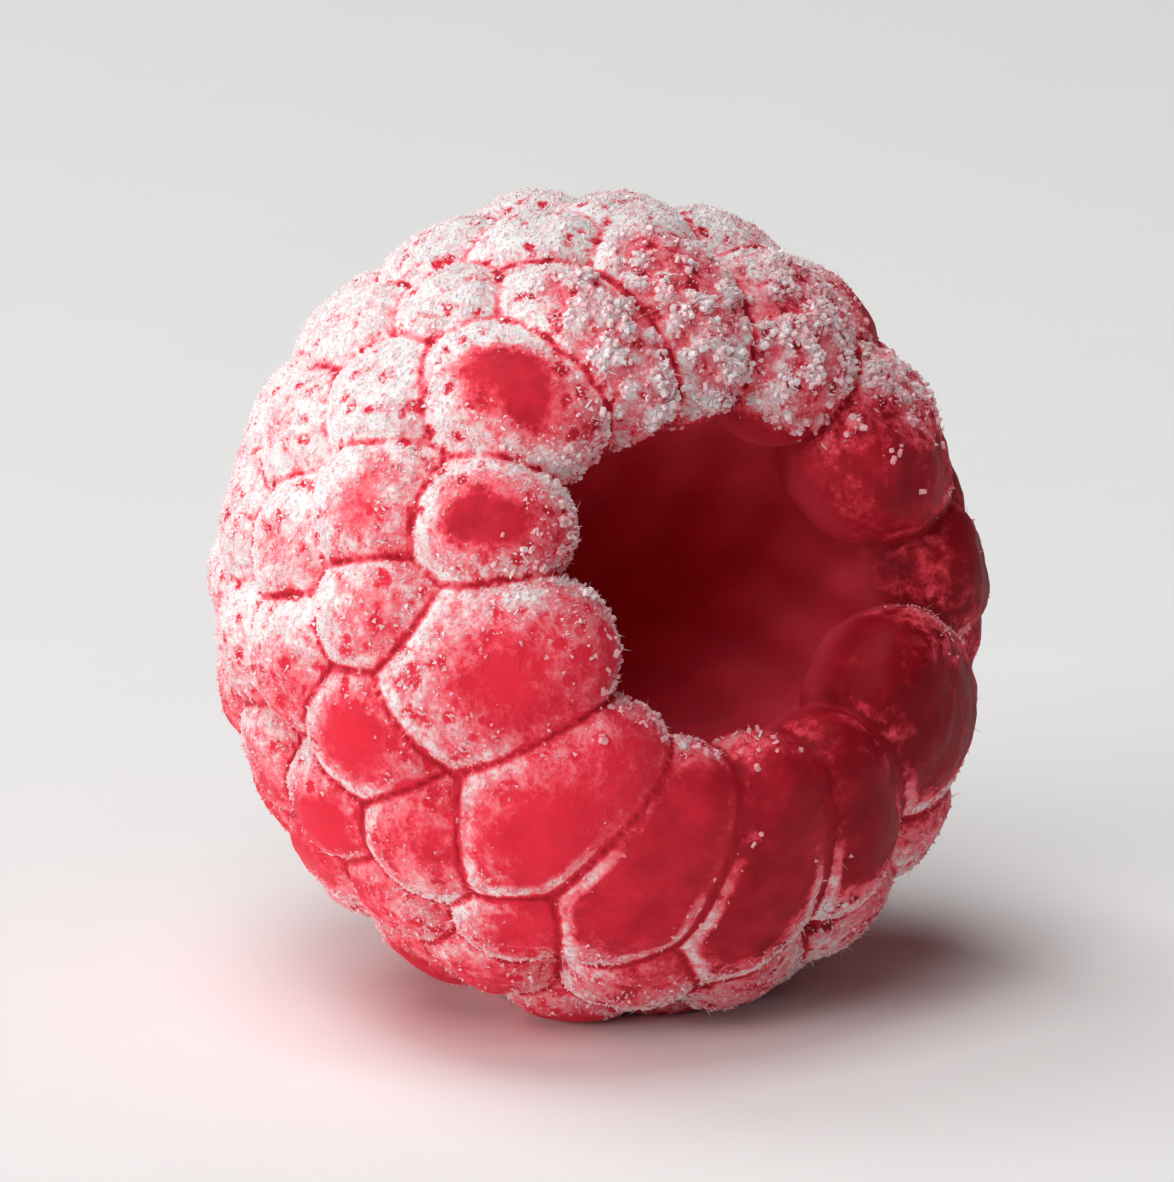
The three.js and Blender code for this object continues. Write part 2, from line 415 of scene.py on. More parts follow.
@dataclass(frozen=True)
class HollowShape:
    """The hollow that the core leaves: its radius by depth, its lean at the mouth, and its soft bumps."""

    front: float = 8.4 * MM
    depths: tuple[float, ...] = tuple(d * MM for d in (0, 2, 4, 6, 8, 10, 12, 13.4, 13.8))
    radii: tuple[float, ...] = tuple(r * MM for r in (6.0, 5.4, 4.9, 4.5, 4.1, 3.6, 2.7, 1.3, 0))
    aside: float = 0.6 * MM
    straight: float = 7 * MM
    ridges: int = 13
    ridge_height: float = 0.2 * MM
    ridge_fade: float = 4 * MM
    row_depth: float = 2.2 * MM

    def outside(self, points: Array) -> Array:
        """How far points lie outside the hollow.

        Args:
            points: Points in the fruit's own axes.

        Returns:
            The distances, less than 0 within it.
        """
        depth = self.front - points[:, 2]
        shift = self.aside * np.maximum(1 - depth / self.straight, 0)
        x = points[:, 0] + shift
        radius = np.hypot(x, points[:, 1])
        wall = np.interp(depth, self.depths, self.radii)
        slope = np.interp(depth, self.depths, np.gradient(self.radii, self.depths))
        waves = np.cos(self.ridges * np.arctan2(x, points[:, 1])) * np.cos(math.pi * depth / self.row_depth)
        bump = self.ridge_height * np.minimum(radius / self.ridge_fade, 1) * waves
        below = depth - self.depths[-1]
        return np.maximum((radius - wall - bump) / np.sqrt(1 + slope**2), below)


@dataclass
class Traces:
    """What the field knows of each point of the flesh."""

    first: Array
    second: Array
    which: Array
    across: Array
    ahead: Array


@dataclass
class FleshField:
    """The distance from any point to the flesh, less than 0 within it, as the fruit lies."""

    shape: FruitShape
    hollow: HollowShape
    lie: Lie
    drupelets: Drupelets
    dome_height: float = 1.5 * MM
    dome_power: float = 2.15
    inner_height: float = 2.4 * MM
    root_depth: float = 3.4 * MM
    overlap: float = 1.12
    pit_depth: float = 0.85 * MM
    wall_front: float = 5.2 * MM
    crease_round: float = 0.2 * MM
    lip_round: float = 0.5 * MM
    lift_spread: float = 0.09 * MM
    far: float = 9 * MM
    trace_reach: float = 1.6 * MM
    tops: Array = field(init=False)
    turns: Array = field(init=False)
    halves: Array = field(init=False)
    below: Array = field(init=False)

    def __post_init__(self) -> None:
        """Works out each drupelet's top, directions and half sizes as the fruit lies."""
        out, across, along = self.shape.directions(self.drupelets.places)
        lift = np.random.default_rng(SEED).uniform(-1, 1, len(self.drupelets)) * self.lift_spread
        tops = self.shape.on_surface(self.drupelets.places) + out * np.minimum(lift, 0)[:, None]
        self.tops = self.lie.lay(tops)
        self.turns = np.einsum("ij,njk->nik", self.lie.turn(), np.stack((across, along, out), axis=-1))
        sizes = np.stack((self.drupelets.widths, self.drupelets.lengths), axis=-1)
        self.halves = sizes / 2 * self.overlap
        self.below = np.where(self.drupelets.on_rim, self.inner_height, self.root_depth)

    def to_drupelet(self, index: int, points: Array) -> tuple[Array, Array, Array]:
        """How far points are from one drupelet.

        Args:
            index: Which drupelet.
            points: Points as the fruit lies.

        Returns:
            The distance, the place across the drupelet, from 0 at its middle to 1 at its border, and the
            place along it, from -1 at its border behind to 1 at the one towards the mouth.
        """
        local = (points - self.tops[index]) @ self.turns[index]
        across = np.hypot(local[:, 0] / self.halves[index, 0], local[:, 1] / self.halves[index, 1])
        height = local[:, 2] + self.dome_height
        reach = np.where(height > 0, self.dome_height, self.below[index])
        power = self.dome_power
        grown = (across**power + (np.abs(height) / reach) ** power) ** (1 / power)
        radius = np.sqrt(local[:, 0] ** 2 + local[:, 1] ** 2 + height**2)
        return radius * (1 - 1 / np.maximum(grown, LEAST_GROWN)), across, local[:, 1] / self.halves[index, 1]

    def value(self, points: Array) -> tuple[Array, Traces]:
        """The distance from points to the flesh, and the traces of the nearest drupelets.

        Args:
            points: Points as the fruit lies.

        Returns:
            The distances, and for each point its two nearest drupelets' distances, which drupelet is nearest,
            and the places across and along it.
        """
        count = len(points)
        rows = np.full(count, self.far)
        rim = np.full(count, self.far)
        far = [np.full(count, self.far) for _ in range(2)]
        traces = Traces(*far, np.zeros(count, int), np.ones(count), np.zeros(count))
        reach = self.halves.max(axis=1) + self.trace_reach + self.root_depth
        for index in range(len(self.drupelets)):
            near = np.nonzero((np.abs(points - self.tops[index]) < reach[index]).all(axis=1))[0]
            if not len(near):
                continue
            distance, across, ahead = self.to_drupelet(index, points[near])
            side = rim if self.drupelets.on_rim[index] else rows
            side[near] = soft_min(side[near], distance, self.crease_round)
            first = traces.first[near]
            closer = distance < first
            traces.second[near] = np.where(closer, first, np.minimum(distance, traces.second[near]))
            traces.which[near] = np.where(closer, index, traces.which[near])
            traces.across[near] = np.where(closer, across, traces.across[near])
            traces.ahead[near] = np.where(closer, ahead, traces.ahead[near])
            traces.first[near] = np.minimum(distance, first)
        own = self.lie.unlay(points)
        wall = soft_max(self.shape.outside(own) + self.pit_depth, own[:, 2] - self.wall_front, self.lip_round)
        behind = soft_min(rows, wall, self.crease_round)
        behind = soft_max(behind, -self.hollow.outside(own), self.lip_round)
        fruit = soft_min(behind, rim, self.crease_round)
        return soft_max(fruit, -points[:, 2], self.crease_round), traces


@dataclass(frozen=True)
class SurfaceNet:
    """Turns a field into a mesh of four-sided faces, one corner in each cell that the surface crosses."""

    step: float
    block: int = 4

    def sample(self, source: FleshField, low: Array, high: Array) -> Array:
        """The field on a grid, exact near the surface and only its sign elsewhere.

        Args:
            source: The field.
            low: The lowest corner of the grid.
            high: The highest corner that the grid has to hold.

        Returns:
            The values.
        """
        blocks = np.ceil((high - low) / (self.step * self.block)).astype(int)
        half = (self.block - 1) / 2
        middles = [low[i] + self.step * (self.block * np.arange(blocks[i]) + half) for i in range(3)]
        coarse = np.stack(np.meshgrid(*middles, indexing="ij"), axis=-1).reshape(-1, 3)
        rough = source.value(coarse)[0].reshape(blocks)
        values = rough.repeat(self.block, 0).repeat(self.block, 1).repeat(self.block, 2)
        near = np.abs(rough) < 2 * self.block * self.step
        near = near.repeat(self.block, 0).repeat(self.block, 1).repeat(self.block, 2)
        cells = np.argwhere(near)
        values[near] = source.value(low + cells * self.step)[0]
        return values

    def corners(self, values: Array) -> tuple[Array, Array]:
        """The mesh's corners, in grid steps.

        Args:
            values: The field on the grid.

        Returns:
            The corners, and for each cell the number of its corner, or -1.
        """
        inside = values < 0
        cut = [slice(None, -1), slice(1, None)]
        eight = [(i, j, k) for i in (0, 1) for j in (0, 1) for k in (0, 1)]
        filled = sum(inside[cut[i], cut[j], cut[k]].astype(np.int8) for i, j, k in eight)
        crossed = (filled > 0) & (filled < 8)
        numbers = np.full(crossed.shape, -1)
        numbers[crossed] = np.arange(crossed.sum())
        cells = np.argwhere(crossed)
        total = np.zeros((len(cells), 3))
        times = np.zeros(len(cells))
        for a in eight:
            for axis in range(3):
                if a[axis]:
                    continue
                b = tuple(a[i] + (i == axis) for i in range(3))
                va = values[tuple((cells + a).T)]
                vb = values[tuple((cells + b).T)]
                through = (va < 0) != (vb < 0)
                share = np.where(through, va / np.where(through, va - vb, 1), 0)
                points = np.array(a) + share[:, None] * (np.array(b) - np.array(a))
                total += np.where(through[:, None], points, 0)
                times += through
        return cells + total / times[:, None], numbers

    def faces(self, values: Array, numbers: Array) -> Array:
        """The mesh's four-sided faces, pointing out of the flesh.

        Args:
            values: The field on the grid.
            numbers: For each cell the number of its corner, or -1.

        Returns:
            Four corner numbers for each face.
        """
        inside = values < 0
        quads = []
        for axis in range(3):
            u, v = (axis + 1) % 3, (axis + 2) % 3
            ahead = np.moveaxis(inside, (axis, u, v), (0, 1, 2))
            cells = np.moveaxis(numbers, (axis, u, v), (0, 1, 2))
            out = ahead[:-1, 1:-1, 1:-1] & ~ahead[1:, 1:-1, 1:-1]
            back = ~ahead[:-1, 1:-1, 1:-1] & ahead[1:, 1:-1, 1:-1]
            ring = (cells[:, :-1, :-1], cells[:, 1:, :-1], cells[:, 1:, 1:], cells[:, :-1, 1:])
            quads.append(np.stack([side[out] for side in ring], axis=-1))
            quads.append(np.stack([side[back] for side in ring[::-1]], axis=-1))
        return np.concatenate(quads)

    def slopes(self, values: Array, places: Array) -> Array:
        """Which way the field rises fastest.

        Args:
            values: The field on the grid.
            places: Places in grid steps.

        Returns:
            A unit vector at each place.
        """
        base = np.clip(np.floor(places).astype(int), 1, np.array(values.shape) - 3)
        rest = places - base
        slope = np.zeros_like(places)
        for corner in np.ndindex(2, 2, 2):
            weight = np.prod(np.where(corner, rest, 1 - rest), axis=1)
            at = base + corner
            for axis in range(3):
                ahead = at + np.eye(3, dtype=int)[axis]
                behind = at - np.eye(3, dtype=int)[axis]
                slope[:, axis] += weight * (values[tuple(ahead.T)] - values[tuple(behind.T)])
        return unit(slope + 1e-12)


@dataclass(frozen=True)
class Chill:
    """Frost that settles on the skin that faces some way.

    It is so much, times an eased rise for each way: the way itself, and how nearly the skin has to face it
    for the rise to start and to be full.
    """

    share: float
    ways: tuple[tuple[tuple[float, float, float], float, float], ...]

    def settled(self, facing: Array) -> Array:
        """How much of it lies on the skin.

        Args:
            facing: The ways that the skin faces.

        Returns:
            The amounts.
        """
        amount = self.share
        for way, start, full in self.ways:
            amount = amount * ease(facing @ way, start, full)
        return amount


# Ways that the skin can face, each about one unit long.
LIT_SIDE = (-0.68, 0.47, 0.56)
LOW_RIGHT = (0.5, -0.5, -0.7)
LEFT, RIGHT = (-1, 0, 0), (1, 0, 0)
UP, DOWN = (0, 0, 1), (0, 0, -1)

# Frost lies thicker and paler on the side that faces the lamps: partly real frost, partly painted light.
CHILLS = (
    # A thin film on all of the lit side, and a thick one in its middle.
    Chill(0.36, ((LIT_SIDE, -0.3, 0.4),)),
    Chill(0.6, ((LIT_SIDE, 0.35, 0.9),)),
    # More to the left, towards the lamps, on top and underneath.
    Chill(0.14, ((LEFT, -0.1, 0.7),)),
    Chill(0.75, ((UP, 0.6, 0.95),)),
    Chill(0.4, ((DOWN, 0.3, 0.9),)),
    # A little more on the upper right and on the lit side's upper part, and less on its lower part.
    Chill(0.16, ((RIGHT, 0.2, 0.7), (UP, -0.1, 0.4))),
    Chill(0.18, ((LIT_SIDE, 0.5, 0.95), (UP, 0, 0.5))),
    Chill(-0.24, ((LIT_SIDE, 0.2, 0.8), (DOWN, -0.25, 0.35))),
    # A film low down on the right.
    Chill(0.35, ((LOW_RIGHT, 0.7, 0.95),)),
)

# Distances in millimetres from a crease, between which the pale line along it rises and fades.
LINE_RISES = (0.1, 0.2)
LINE_FADES = (0.34, 0.6)


@dataclass(frozen=True)
class Rime:
    """Where frost lies on the skin, and what else the finishes read there.

    A pair of numbers is where something starts to rise and where it is full, in the fruit's own axes where it
    is a place. The crust fades over its depths instead.
    """

    source: FleshField
    # How large the lumps of its unevenness are.
    uneven_size: float = 1.1 * MM
    patch_size: float = 2.6 * MM
    clump_size: float = 0.56 * MM
    # Clumps of crystals, in shares of their size from their middles.
    clump_reach: float = 0.48
    clump_unevenness: float = 0.25
    clump_rises: tuple[float, float] = (-0.1, 0.12)
    # The crust over the mouth's upper rim, the hollow, the lip on its left and the half behind.
    crust_fronts: tuple[float, float] = (4.0 * MM, 5.4 * MM)
    crust_tops: tuple[float, float] = (1.5 * MM, 4.5 * MM)
    crust_sides: tuple[float, float] = (-4.2 * MM, -2.8 * MM)
    crust_depths: tuple[float, float] = (1.2 * MM, 2 * MM)
    hollow_depths: tuple[float, float] = (1.6 * MM, 3.4 * MM)
    lip_depths: tuple[float, float] = (0.4 * MM, 1.0 * MM)
    lip_fronts: tuple[float, float] = (4 * MM, 5.5 * MM)
    lip_sides: tuple[float, float] = (-1 * MM, 3 * MM)
    back_half: tuple[float, float] = (-3 * MM, 5 * MM)
    # The way that the skin faces, from the whole fruit's surface and from the drupelet's own.
    envelope_share: float = 0.8
    dome_share: float = 0.3
    # How much frost there is everywhere, and more or less of it by place.
    least_frost: float = 0.1
    patch_frost: float = 0.3
    lip_frost: float = 0.3
    tuft_frost: float = 0.6
    back_thaw: float = 0.22
    crust_frost: float = 0.46
    clump_frost: float = 0.38
    crust_patches: float = 0.12
    # How bare and how light drupelets are, and how wide their bare middles and tops are.
    tone_spread: float = 0.3
    rub_chances: tuple[float, float] = (0.5, 0.9)
    row_bareness: float = 0.5
    middle_bareness: float = 0.72
    middle_width: float = 0.72
    middle_unevenness: float = 0.35
    middle_softness: float = 0.6
    top_bareness: float = 0.22
    top_width: float = 0.9
    # The pale hem along a drupelet's border.
    hem_softness: float = 0.5
    hem_level: float = 1.05
    hem_patches: float = 0.8
    hem_thaw: float = 0.85
    # Where crystals grow. The gap at a crease is in millimetres.
    crease_gap: tuple[float, float] = (0.08, 0.25)
    floor_gap: tuple[float, float] = (0.25 * MM, 0.6 * MM)
    dusty_frost: tuple[float, float] = (0.15, 0.95)
    border_dust: float = 0.25
    stray_crystals: float = 0.001
    loose_clumps: float = 0.03
    thick_frost: tuple[float, float] = (0.7, 1.0)

    def crust(self, points: Array) -> tuple[Array, Array]:
        """Where the crust of crystals lies over the mouth's upper rim.

        Args:
            points: The corners.

        Returns:
            How far each corner lies in the crust, and how far in a clump of its crystals, both from 0 to 1.
        """
        own = self.source.lie.unlay(points)
        x, y, z = own.T
        crust = ease(z, *self.crust_fronts) * ease(y, *self.crust_tops) * ease(x, *self.crust_sides)
        depth = -self.source.shape.outside(own)
        away = np.array([noise.voronoi(Vector(p / self.clump_size))[0][0] for p in points])
        near = self.clump_reach + self.clump_unevenness * lumpy(points, self.uneven_size) - away
        return crust * (1 - ease(depth, *self.crust_depths)), ease(near, *self.clump_rises)

    def tufts(self, own: Array) -> Array:
        """How far points lie in a tuft of frost.

        Args:
            own: Points in the fruit's own axes.

        Returns:
            Numbers from 0 to 1.
        """
        shape = self.source.shape
        found = np.zeros(len(own))
        for tuft in TUFTS:
            middle = shape.on_surface(shape.place(tuft.polar, tuft.clock))
            found = np.maximum(found, np.exp(-((np.linalg.norm(own - middle, axis=1) / tuft.radius) ** 2)))
        return found

    def creases(self, points: Array, faces: Array, traces: Traces) -> Array:
        """How far each corner lies from the nearest crease between two drupelets.

        Args:
            points: The corners.
            faces: The corner numbers of each face.
            traces: The nearest drupelets at each corner.

        Returns:
            The distances, in millimetres.
        """
        edges = np.concatenate([faces[:, (i, (i + 1) % 4)] for i in range(4)])
        edges = edges[traces.which[edges[:, 0]] < traces.which[edges[:, 1]]]
        lead = (traces.second - traces.first)[edges] + 1e-9
        share = (lead[:, 0] / lead.sum(axis=1))[:, None]
        crossings = points[edges[:, 0]] * (1 - share) + points[edges[:, 1]] * share
        tree = kdtree.KDTree(len(crossings))
        for number, crossing in enumerate(crossings.tolist()):
            tree.insert(crossing, number)
        tree.balance()
        return np.array([tree.find(point)[2] for point in points.tolist()]) / MM

    def characters(self) -> tuple[Array, Array]:
        """What differs from drupelet to drupelet.

        It is given on the rim. Behind it, it is left to chance, but flesh is lighter towards 9 o'clock, the
        side
        the lamps light: painted light and shade.

        Returns:
            How light each drupelet's flesh is, partly painted light and shade, and how far its middle is
            rubbed bare of frost.
        """
        drupelets = self.source.drupelets
        draw = np.random.default_rng(SEED + 2)
        # Lighter flesh towards 9 o'clock, where the lamps light it: painted light and shade, with a random
        # spread.
        tones_and_shade = 0.5 - 0.5 * drupelets.places[:, 0] + self.tone_spread * draw.uniform(-1, 1, len(drupelets))
        tones_and_shade[: len(RIM)] = [drupelet.tone for drupelet in RIM]
        rubbed = ease(draw.uniform(0, 1, len(drupelets)), *self.rub_chances) * self.row_bareness
        rubbed[: len(RIM)] = [drupelet.bare for drupelet in RIM]
        return tones_and_shade, rubbed

    def marks(self, points: Array, faces: Array, slopes: Array, traces: Traces, crust: Array,
              clumps: Array) -> dict[str, Array]:
        """What the finishes and the frost read at each corner.

        Args:
            points: The corners, before they are centred.
            faces: The corner numbers of each face.
            slopes: The surface's direction at each.
            traces: The nearest drupelets at each.
            crust: How far each lies in the crust over the rim.
            clumps: How far each lies in a clump of crystals.

        Returns:
            Arrays by name. crease is the distance in millimetres to the nearest crease, tone how light
            the flesh is, partly painted light and shade, hollow 1 within the hollow, and hem large towards
            the drupelet's border behind. frost is how thickly the film of frost lies, thicker on the lit side
            as partly painted light, dust how thickly grains grow and crystals how thickly large crystals do,
            all from 0 to 1.
        """
        tones_and_shade, rubbed = self.characters()
        own = self.source.lie.unlay(points)
        depth = -self.source.shape.outside(own)
        hollow = ease(depth, *self.hollow_depths)
        crease = self.creases(points, faces, traces)
        patches = lumpy(points, self.patch_size)
        outward = self.source.shape.outward(own)
        facing = unit(self.envelope_share * outward @ self.source.lie.turn().T + self.dome_share * slopes)
        lip = ease(depth, *self.lip_depths) * ease(own[:, 2], *self.lip_fronts)
        lip *= ease(-own[:, 0], *self.lip_sides)
        tufts = self.tufts(own)
        back = ease(-own[:, 2], *self.back_half)

        # Frost by the way the skin faces, thicker towards the lamps: partly painted light.
        frost_and_light = self.least_frost + sum(chill.settled(facing) for chill in CHILLS)
        frost_and_light += (
            self.patch_frost * patches + self.lip_frost * lip
            + self.tuft_frost * tufts - self.back_thaw * back
        )
        thick = self.clump_frost * clumps + self.crust_frost + self.crust_patches * patches
        frost_and_light = frost_and_light * (1 - crust) + thick * crust
        uneven = lumpy(points, self.uneven_size)
        inside = self.middle_width - traces.across - self.middle_unevenness * uneven
        bare = self.middle_bareness * ease(inside, 0, self.middle_softness) * rubbed[traces.which]
        bare += self.top_bareness * ease(1 - traces.across, 0, self.top_width) * (1 - crust)
        frost = np.clip(frost_and_light - bare, 0, 1) * (1 - hollow)

        skin = ease(crease, *self.crease_gap) * (1 - hollow) * ease(points[:, 2], *self.floor_gap)
        hem = ease(-traces.ahead, -self.hem_softness, self.hem_softness) * (1 - hollow)
        hem = hem * (1 - self.hem_thaw * back) * (self.hem_level + self.hem_patches * patches)
        border = hem * ease(crease, *LINE_RISES) * (1 - ease(crease, *LINE_FADES))
        dust = ease(frost, *self.dusty_frost) + self.border_dust * border
        loose = self.loose_clumps * ease(frost, *self.thick_frost)
        large = self.stray_crystals + clumps * (crust + loose + lip) + tufts
        return {
            "crease": np.minimum(crease, 2),
            "tone": np.clip(tones_and_shade, 0, 1)[traces.which],
            "hollow": hollow,
            "frost": frost,
            "hem": hem,
            "dust": skin * np.clip(dust, 0, 1),
            "crystals": skin * np.clip(large, 0, 1),
        }


@dataclass
class Flesh:
    """The flesh of the fruit as one mesh, with what the finishes need to know at each of its corners."""

    source: FleshField
    net: SurfaceNet = SurfaceNet(step=0.15 * MM)
    margin: float = 0.5 * MM
    settle_steps: int = 3
    settle_reach: float = 0.5
    settle_share: float = 0.8
    lump_height: float = 0.1 * MM
    lump_size: float = 1.1 * MM
    grain_height: float = 0.035 * MM
    grain_size: float = 0.32 * MM
    dent_depth: float = 0.16 * MM
    dent_share: float = 0.35
    dent_width: float = 0.33
    skin_depth: float = 0.3 * MM
    smooth_foot: float = 0.5 * MM
    clump_height: float = 0.14 * MM

    def make(self) -> bpy.types.Object:
        """Builds the mesh and its attributes.

        Returns:
            The object, at the origin, unturned and unscaled.
        """
        low, high = (np.array(corner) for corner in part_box(NODE))
        low = low - self.margin
        high = high + self.margin
        values = self.net.sample(self.source, low, high)
        corners, numbers = self.net.corners(values)
        faces = self.net.faces(values, numbers)
        points, slopes = self.settle(values, corners, low)
        _, traces = self.source.value(points)
        rime = Rime(self.source)
        crust, clumps = rime.crust(points)
        points = self.roughen(points, slopes, traces) + slopes * (crust * clumps * self.clump_height)[:, None]
        middle = (points.max(axis=0) + points.min(axis=0)) / 2
        points[:, 2] = np.maximum(points[:, 2], 0)
        mesh = bpy.data.meshes.new("berry_flesh")
        mesh.from_pydata((points - (middle[0], middle[1], 0)).tolist(), [], faces.tolist())
        mesh.validate()
        mesh.polygons.foreach_set("use_smooth", np.ones(len(mesh.polygons), bool))
        for name, amounts in rime.marks(points, faces, slopes, traces, crust, clumps).items():
            layer = mesh.attributes.new(name, "FLOAT", "POINT")
            layer.data.foreach_set("value", amounts.astype(np.float32))
        return in_scene("berry_flesh", mesh)

    def settle(self, values: Array, corners: Array, low: Array) -> tuple[Array, Array]:
        """Moves the corners of the net onto the surface.

        Args:
            values: The field on the grid.
            corners: The corners in grid steps.
            low: The lowest corner of the grid.

        Returns:
            The points in metres, and the surface's direction at each.
        """
        places = corners.copy()
        for _ in range(self.settle_steps):
            slopes = self.net.slopes(values, places)
            distance, _ = self.source.value(low + places * self.net.step)
            move = np.clip(distance / self.net.step, -self.settle_reach, self.settle_reach)
            places = places - slopes * move[:, None] * self.settle_share
        return low + places * self.net.step, self.net.slopes(values, places)

    def roughen(self, points: Array, slopes: Array, traces: Traces) -> Array:
        """Gives the drupelets their lumps and dents, and the skin its grain.

        Args:
            points: The corners.
            slopes: The surface's direction at each.
            traces: The nearest drupelets at each.

        Returns:
            The corners where they now lie.
        """
        chance = np.random.default_rng(SEED + 1).uniform(0, 1, len(self.source.drupelets))
        dented = (chance < self.dent_share)[traces.which]
        height = self.lump_height * lumpy(points, self.lump_size)
        height += self.grain_height * lumpy(points, self.grain_size)
        dents = np.exp(-((traces.across / self.dent_width) ** 2)) * (traces.first < self.skin_depth)
        height -= self.dent_depth * dented * dents
        standing = ease(points[:, 2], 0, self.smooth_foot)
        return points + slopes * (height * standing)[:, None]


# ---- Nodes ----


class Tree:
    """A node tree, to which every node is added by one method."""

    def __init__(self, nodes_and_links: bpy.types.NodeTree) -> None:
        """Takes a node tree, with what is in it removed."""
        self.tree = nodes_and_links
        self.tree.nodes.clear()

    def add(self, kind: str, settings: dict[str, object] | None = None,
            inputs: dict[str | int, Link] | None = None) -> bpy.types.Node:
        """Adds a node.

        Args:
            kind: The node's type.
            settings: Its properties, which are set first. A ramp's stops are a list of places and colours.
            inputs: Values or links for its sockets, by name or number.

        Returns:
            The node.
        """
        node = self.tree.nodes.new(kind)
        for name, value in (settings or {}).items():
            if name == "stops":
                self.set_stops(node, value)
            else:
                setattr(node, name, value)
        for name, value in (inputs or {}).items():
            self.feed(node.inputs[name], value)
        return node

    def set_stops(self, node: bpy.types.Node, stops: list[tuple[float, tuple[float, ...]]]) -> None:
        """Gives a colour ramp its stops.

        Args:
            node: The ramp.
            stops: The stops' places and colours, two or more.
        """
        ramp = node.color_ramp.elements
        while len(ramp) < len(stops):
            ramp.new(1.0)
        for element, (place, colour) in zip(ramp, stops):
            element.position = place
            element.color = (*colour, 1.0)

    def feed(self, socket: bpy.types.NodeSocket, value: Link) -> None:
        """Links a socket, or gives it a value.

        Args:
            socket: The socket.
            value: A socket to link it to, or a value. A colour may be given as three numbers.
        """
        if isinstance(value, Value):
            self.tree.links.new(value.socket, socket)
        elif isinstance(value, bpy.types.NodeSocket):
            self.tree.links.new(value, socket)
        elif isinstance(value, tuple) and len(value) == 3 and socket.type == "RGBA":
            socket.default_value = (*value, 1.0)
        else:
            socket.default_value = value

    def value(self, socket: bpy.types.NodeSocket) -> "Value":
        """A socket that can be reckoned with."""
        return Value(self, socket)


class Value:
    """A shader socket that Python's operators work on."""

    def __init__(self, tree: Tree, socket: bpy.types.NodeSocket) -> None:
        """Wraps a socket of a tree."""
        self.tree = tree
        self.socket = socket

    def reckon(self, operation: str, *terms: Link) -> "Value":
        """A Math node over terms, which this value is one of."""
        node = self.tree.add("ShaderNodeMath", {"operation": operation}, dict(enumerate(terms)))
        return Value(self.tree, node.outputs[0])

    def __add__(self, other: Link) -> "Value":
        """The sum."""
        return self.reckon("ADD", self, other)

    __radd__ = __add__

    def __sub__(self, other: Link) -> "Value":
        """The difference."""
        return self.reckon("SUBTRACT", self, other)

    def __rsub__(self, other: Link) -> "Value":
        """The difference, the other way round."""
        return self.reckon("SUBTRACT", other, self)

    def __mul__(self, other: Link) -> "Value":
        """The product."""
        return self.reckon("MULTIPLY", self, other)

    __rmul__ = __mul__

    def ease(self, low: float, high: float) -> "Value":
        """Turns values into a share, with a smooth change from 0 to 1.

        Args:
            low: Where it is 0.
            high: Where it is 1.

        Returns:
            The share.
        """
        limits = {"Value": self, "From Min": low, "From Max": high}
        node = self.tree.add("ShaderNodeMapRange", {"interpolation_type": "SMOOTHSTEP"}, limits)
        return Value(self.tree, node.outputs["Result"])

    def mix(self, low: Link, high: Link) -> "Value":
        """The colour that lies this share of the way from one to another."""
        node = self.tree.add("ShaderNodeMix", {"data_type": "RGBA"}, {0: self, 6: low, 7: high})
        return Value(self.tree, node.outputs[2])


class Finish:
    """A material that is made of nodes."""

    name = "finish"

    def paint(self, tree: Tree) -> bpy.types.Node:
        """Adds the material's nodes, and returns the one for its shader."""
        raise NotImplementedError

    def make(self) -> bpy.types.Material:
        """Makes the material.

        Returns:
            The material, with its nodes.
        """
        material = bpy.data.materials.new(self.name)
        material.use_nodes = True
        tree = Tree(material.node_tree)
        shader = self.paint(tree)
        tree.add("ShaderNodeOutputMaterial", inputs={"Surface": shader.outputs[0]})
        return material

    def speckle(self, tree: Tree, size: float, detail: float = 2.0) -> Value:
        """Noise on the object's own coordinates.

        Args:
            tree: The tree it is added to.
            size: About how large its lumps are.
            detail: How many finer layers it has.

        Returns:
            The noise, from 0 to 1.
        """
        places = tree.add("ShaderNodeTexCoord").outputs["Object"]
        inputs = {"Vector": places, "Scale": 1 / size, "Detail": detail, "Roughness": 0.6}
        return tree.value(tree.add("ShaderNodeTexNoise", {"noise_dimensions": "3D"}, inputs).outputs["Fac"])

    def mark(self, tree: Tree, name: str) -> Value:
        """One of the numbers that the mesh holds at its corners."""
        return tree.value(tree.add("ShaderNodeAttribute", {"attribute_name": name}).outputs["Fac"])


